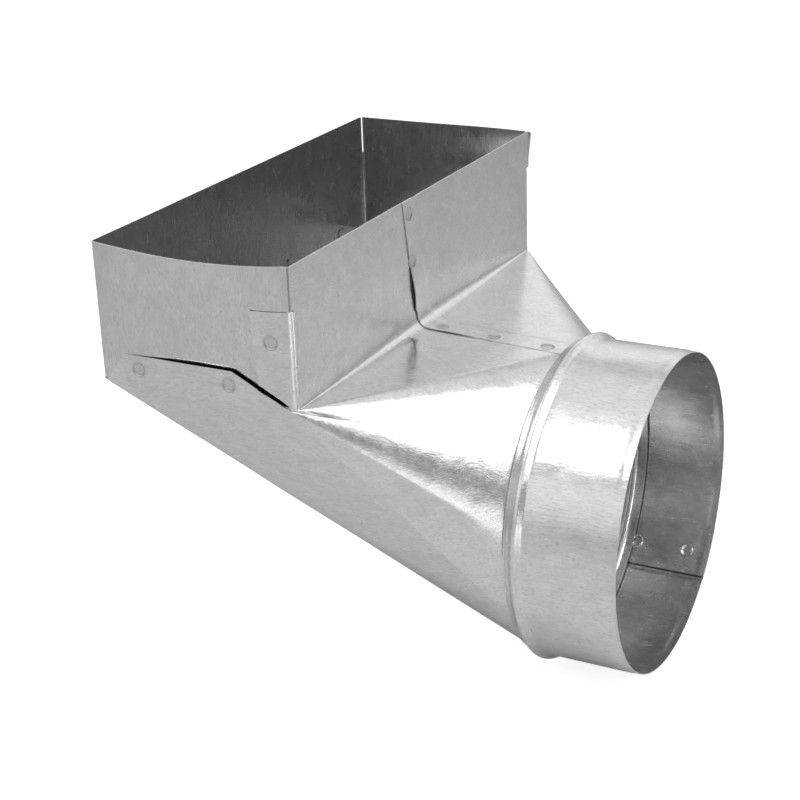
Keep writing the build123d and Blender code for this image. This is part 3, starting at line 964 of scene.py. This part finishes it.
class BOOT_OT_collar(bpy.types.Operator):
    """Rolls the round collar with its bead and the lap over its own inner edge"""
    bl_idname = "boot.collar"
    bl_label = "Collar"

    def execute(self, context):
        scene = context.scene
        collar, layer, sheet = scene.boot_collar, scene.boot_finish.layer, scene.boot_finish.thickness
        radius = collar.bore / 2.0
        bead_half = collar.bead_width / 2.0
        middle = collar.length - 2.0 * MM - bead_half
        bead_start, bead_end = middle - bead_half, middle + bead_half
        angles = steps(ROLL_START, ROLL_STEP - 1.2, 24) + steps(ROLL_STEP - 1.2, ROLL_STEP, 6)
        angles += steps(ROLL_STEP, ROLL_STEP + ROLL_SLOPE, 6)
        angles += steps(ROLL_STEP + ROLL_SLOPE, ROLL_END, 300) + [ROLL_END]
        rows = [value * MM for value in (0.0, 1.2, 2.4, 3.2, 4.0, 5.0)] + steps(6.0 * MM, bead_start, 14)
        rows += steps(bead_start, bead_end, 16) + steps(bead_end, collar.length, 4) + [collar.length]

        def place(column, row):
            angle, y = angles[column], rows[row]
            rise = layer * (1.0 - smooth(ROLL_STEP, ROLL_STEP + ROLL_SLOPE, angle))
            rise += collar.bead * hump(abs(y - middle) / bead_half)
            rise -= 0.3 * MM * (1.0 - smooth(2.6 * MM, 5.0 * MM, y))
            rise -= 1.0 * MM * smooth(bead_end - 0.4 * MM, collar.length, y)
            reach = radius + sheet + rise
            turn = math.radians(angle)
            return Vector((reach * math.sin(turn), y, reach * math.cos(turn)))

        def lap_painted_shade(spot):
            """Painted shade: dark line in the crevice between the two layers, in the step beside the collar's
            inner edge.
            """
            proud = math.hypot(spot.x, spot.z) - radius
            if not 0.1 * MM < proud < layer + 0.1 * MM or spot.y >= 43.0 * MM:
                return 0.0
            around = math.degrees(math.atan2(spot.x, spot.z))
            return LAP_PAINTED_SHADE * bell(around - ROLL_STEP + 0.65, 0.4)

        piece = weld("collar_ring", [grid("ring", len(angles), len(rows), place)])
        face_out(piece, lambda centre: Vector((centre.x, 0.0, centre.z)))
        turn = math.radians(ROLL_STEP - 9.9)
        inward = Vector((-math.sin(turn), 0.0, -math.cos(turn)))
        press(piece, [Clinch(inward * -(radius + sheet) + BEHIND * y, inward, 2.9 * MM, 0.6 * MM)
                      for y in (11.5 * MM, 38.5 * MM)])
        # Painted shade in the step between the layers, outside and inside
        thicken(piece, sheet, lap_painted_shade, [lap_painted_shade])
        finish_piece(piece, "collar", "Y")
        return {"FINISHED"}


def seen(tree, path, in_metal=1.0):
    """One where the camera looks straight at the surround, and a share of it in a reflection."""
    share = maths(tree, "MULTIPLY", path.outputs["Is Glossy Ray"], in_metal)
    most = maths(tree, "MAXIMUM", path.outputs["Is Camera Ray"], share)
    return maths(tree, "MAXIMUM", most, path.outputs["Is Transmission Ray"])


def tent(tree, path):
    """White to the camera; a reflection finds the tent's walls greyer low down and overhead."""
    spot = add_node(tree, "TexCoord").outputs["Generated"]
    split = add_node(tree, "SeparateXYZ", Vector=spot)
    around, ahead = [colour_ramp(tree, split.outputs["Z"], [(height, (tone,) * 3) for height, tone in tones])
                     for tones in (TENT_AROUND, TENT_AHEAD)]
    share = add_node(tree, "MapRange", Value=split.outputs["Y"], From_Min=-0.4, From_Max=-0.7)
    walls = colour_mix(tree, share.outputs["Result"], around, ahead)
    return colour_mix(tree, path.outputs["Is Camera Ray"], walls, WHITE)


def lamp(name, place, size, power, target):
    light = bpy.data.lights.new(name, "AREA")
    light.shape = "RECTANGLE"
    light.size, light.size_y = size
    light.energy = power
    holder = bpy.data.objects.new(name, light)
    holder.location = place
    aim = Vector(target) - Vector(place)
    holder.rotation_euler = aim.to_track_quat("-Z", "Y").to_euler()
    holder.visible_camera = False
    bpy.context.scene.collection.objects.link(holder)


class BOOT_OT_stage(bpy.types.Operator):
    """Sets the camera, the floor, the white surround and the lamps"""
    bl_idname = "boot.stage"
    bl_label = "Stage"

    def execute(self, context):
        scene = context.scene
        stage = scene.boot_stage
        self.camera(scene)
        self.floor(stage)
        self.surround(scene)
        lamp("key", (-0.58, 0.64, 1.19), (0.95, 0.36), stage.key_power, MIDDLE)
        lamp("fill", (-0.27, -0.9, 0.63), (0.5, 0.46), stage.fill_power, FRONT_MIDDLE)
        lamp("over", (0.0, -0.66, 0.94), (0.52, 0.44), stage.over_power, FRONT_MIDDLE)
        lamp("card", (-0.36, -0.3, -0.055), (0.2, 0.1), stage.card_power, LEFT_CORNER)
        scene.view_settings.view_transform = "Standard"
        return {"FINISHED"}

    @staticmethod
    def camera(scene):
        eye = bpy.data.cameras.new("camera")
        eye.lens = CAMERA_LENS
        eye.sensor_width = CAMERA_SENSOR
        eye.sensor_fit = "HORIZONTAL"
        camera = bpy.data.objects.new("camera", eye)
        scene.collection.objects.link(camera)
        turn = Matrix((CAMERA_RIGHT, -CAMERA_DOWN, -CAMERA_VIEW)).transposed().to_4x4()
        camera.matrix_world = Matrix.Translation(CAMERA_PLACE) @ turn
        scene.camera = camera

    @staticmethod
    def floor(stage):
        bpy.ops.object.select_all(action="DESELECT")
        bpy.ops.mesh.primitive_plane_add(size=FLOOR_SIZE, location=(0.0, 0.0, FLOOR_HEIGHT))
        floor = bpy.context.object
        floor.name = "floor"
        material = bpy.data.materials.new("floor")
        material.use_nodes = True
        tree = material.node_tree
        tree.nodes.clear()
        path = add_node(tree, "LightPath")
        plain = add_node(tree, "BsdfDiffuse", Color=(*stage.floor_colour, 1.0))
        glow = add_node(tree, "Emission", Color=FLOOR_GLOW, Strength=seen(tree, path, FLOOR_IN_METAL))
        both = add_node(tree, "AddShader")
        feed(tree, both.inputs[0], plain.outputs["BSDF"])
        feed(tree, both.inputs[1], glow.outputs["Emission"])
        add_node(tree, "OutputMaterial", Surface=both.outputs["Shader"])
        floor.data.materials.append(material)

    @staticmethod
    def surround(scene):
        world = bpy.data.worlds.new("surround")
        scene.world = world
        world.use_nodes = True
        tree = world.node_tree
        tree.nodes.clear()
        path = add_node(tree, "LightPath")
        soft = add_node(tree, "Background", Color=WHITE, Strength=SOFT_STRENGTH)
        shown = add_node(tree, "Background", Color=tent(tree, path), Strength=SHOWN_STRENGTH)
        blend = add_node(tree, "MixShader", Fac=seen(tree, path))
        feed(tree, blend.inputs[1], soft.outputs["Background"])
        feed(tree, blend.inputs[2], shown.outputs["Background"])
        add_node(tree, "OutputWorld", Surface=blend.outputs["Shader"])


class BOOT_PT_panel(bpy.types.Panel):
    """Lists the boot's sheets and its stage"""
    bl_label = "Register boot"
    bl_idname = "BOOT_PT_panel"
    bl_space_type = "VIEW_3D"
    bl_region_type = "UI"
    bl_category = "Boot"

    def draw(self, context):
        for settings in GROUPS:
            group = getattr(context.scene, settings)
            for name in group.__annotations__:
                self.layout.prop(group, name)
        for operator in PIECES:
            self.layout.operator(operator)


PIECES = ("boot.stage", "boot.left_shell", "boot.right_shell", "boot.box_sheet", "boot.collar")
GROUPS = {
    "boot_box": BoxSizes,
    "boot_collar": CollarSizes,
    "boot_finish": SheetFinish,
    "boot_stage": StageSettings,
}
CLASSES = (
    *GROUPS.values(),
    BOOT_OT_left_shell,
    BOOT_OT_right_shell,
    BOOT_OT_box_sheet,
    BOOT_OT_collar,
    BOOT_OT_stage,
    BOOT_PT_panel,
)


def register():
    for entry in CLASSES:
        bpy.utils.register_class(entry)
    for name, group in GROUPS.items():
        setattr(bpy.types.Scene, name, PointerProperty(type=group))


def unregister():
    for name in GROUPS:
        delattr(bpy.types.Scene, name)
    for entry in reversed(CLASSES):
        bpy.utils.unregister_class(entry)


def main():
    register()
    bpy.ops.boot.stage()
    bpy.ops.boot.left_shell()
    bpy.ops.boot.right_shell()
    bpy.ops.boot.box_sheet()
    bpy.ops.boot.collar()


if __name__ == "__main__":
    main()
